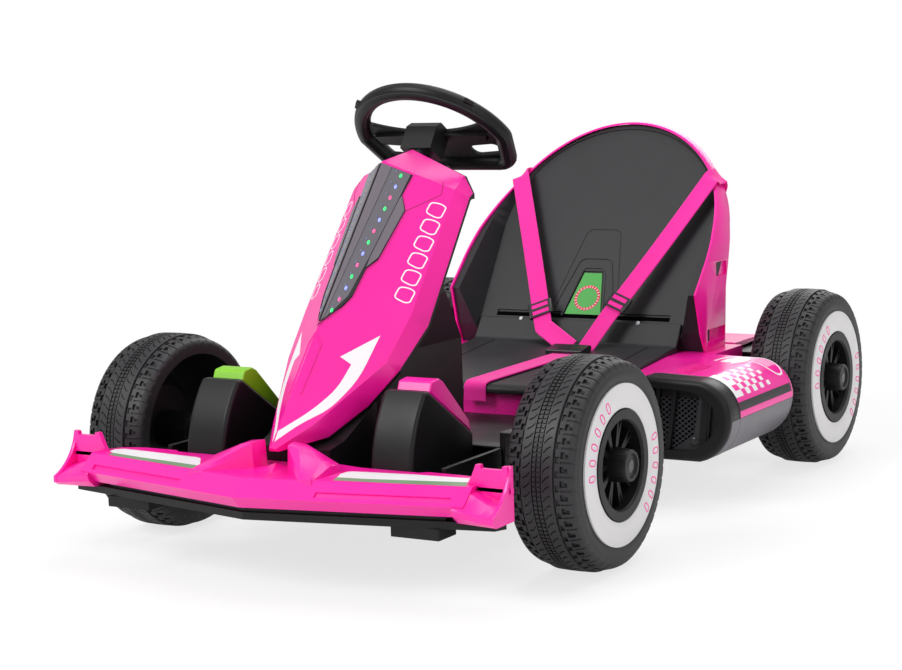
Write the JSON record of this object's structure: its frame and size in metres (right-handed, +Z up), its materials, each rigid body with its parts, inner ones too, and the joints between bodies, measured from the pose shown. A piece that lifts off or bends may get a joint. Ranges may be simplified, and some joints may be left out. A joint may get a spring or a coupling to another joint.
{
  "type": "ride-on kart",
  "caption": "Low child's ride-on kart: nose cowl with D-shaped steering wheel, reclined bucket seat with harness, side pods, front wing and wide plastic wheels.",
  "frame": {"origin": "on the floor below the middle of the bounding box", "axes": "+Z up, nose along -Y, the driver's left along +X"},
  "size_m": [0.674, 1.05, 0.5272],
  "materials": {
    "pink_plastic": "glossy moulded",
    "black_plastic": "satin moulded",
    "grey_plastic": "satin moulded",
    "green_plastic": "glossy moulded",
    "plate_green": "printed film",
    "strip_lens": "smoked lens",
    "webbing": "woven",
    "axle_steel": "black painted",
    "battery_case": "plain",
    "tyre_black": "moulded plastic tread",
    "rim_black": "satin moulded",
    "ring_white": "moulded ring"
  },
  "bodies": {
    "root": {"chassis_floor": "black_plastic", "front_wing": "pink_plastic", "wing_lip": "black_plastic", "nose_cowl": "pink_plastic", "light_strip": "strip_lens", "console": "black_plastic", "pedal_housing_left": "black_plastic", "pedal_housing_right": "black_plastic", "pedal_left": "pink_plastic", "pedal_right": "green_plastic", "front_axle": "axle_steel", "seat_pan": "black_plastic", "seat_back": "black_plastic", "seat_shell": "pink_plastic", "seat_tub": "pink_plastic", "number_plate": "plate_green", "shoulder_belts": "webbing", "belt_slides": "black_plastic", "belt_connector": "black_plastic", "crotch_strap": "webbing", "pod_top_left": "pink_plastic", "pod_top_right": "pink_plastic", "pod_lower_left": "grey_plastic", "pod_lower_right": "grey_plastic", "pod_grille_left": "black_plastic", "pod_grille_right": "black_plastic", "rear_cover": "pink_plastic", "rear_bumper": "grey_plastic", "rear_axle": "axle_steel", "gearboxes": "black_plastic", "battery": "battery_case"},
    "steering": {"steering_wheel": "black_plastic", "steering_shaft": "axle_steel"},
    "tie_rod": {"tie_rod": "axle_steel"},
    "knuckle_left": {"knuckle_left": "axle_steel"},
    "wheel_front_left": {"tyre_front_left": "tyre_black", "rim_front_left": "rim_black", "ring_front_left": "ring_white"},
    "wheel_rear_left": {"tyre_rear_left": "tyre_black", "rim_rear_left": "rim_black", "ring_rear_left": "ring_white"},
    "knuckle_right": {"knuckle_right": "axle_steel"},
    "wheel_front_right": {"tyre_front_right": "tyre_black", "rim_front_right": "rim_black", "ring_front_right": "ring_white"},
    "wheel_rear_right": {"tyre_rear_right": "tyre_black", "rim_rear_right": "rim_black", "ring_rear_right": "ring_white"}
  },
  "joints": [
    {"name": "steering_turn", "type": "hinge", "parent": "root", "child": "steering", "pos_m": [0, -0.119, 0.4695], "axis": [0, 0.5446, 0.8387], "range_deg": [-40, 40]},
    {"name": "tie_rod_slide", "type": "slide", "parent": "root", "child": "tie_rod", "axis": [1, 0, 0], "range_m": [-0.023, 0.023]},
    {"name": "knuckle_left_turn", "type": "hinge", "parent": "root", "child": "knuckle_left", "pos_m": [0.205, -0.268, 0.117], "axis": [0, 0, 1], "range_deg": [-22.2, 22.2]},
    {"name": "wheel_front_left_spin", "type": "hinge", "parent": "knuckle_left", "child": "wheel_front_left", "pos_m": [0.284, -0.268, 0.117], "axis": [1, 0, 0], "continuous": true},
    {"name": "wheel_rear_left_spin", "type": "hinge", "parent": "root", "child": "wheel_rear_left", "pos_m": [0.284, 0.372, 0.117], "axis": [1, 0, 0], "continuous": true},
    {"name": "knuckle_right_turn", "type": "hinge", "parent": "root", "child": "knuckle_right", "pos_m": [-0.205, -0.268, 0.117], "axis": [0, 0, 1], "range_deg": [-22.2, 22.2]},
    {"name": "wheel_front_right_spin", "type": "hinge", "parent": "knuckle_right", "child": "wheel_front_right", "pos_m": [-0.284, -0.268, 0.117], "axis": [1, 0, 0], "continuous": true},
    {"name": "wheel_rear_right_spin", "type": "hinge", "parent": "root", "child": "wheel_rear_right", "pos_m": [-0.284, 0.372, 0.117], "axis": [1, 0, 0], "continuous": true}
  ],
  "couplings": [
    {"joint": "tie_rod_slide", "follows": "steering_turn", "m_per_rad": 0.0323},
    {"joint": "knuckle_left_turn", "follows": "steering_turn", "ratio": 0.5525},
    {"joint": "knuckle_right_turn", "follows": "steering_turn", "ratio": 0.5525}
  ]
}
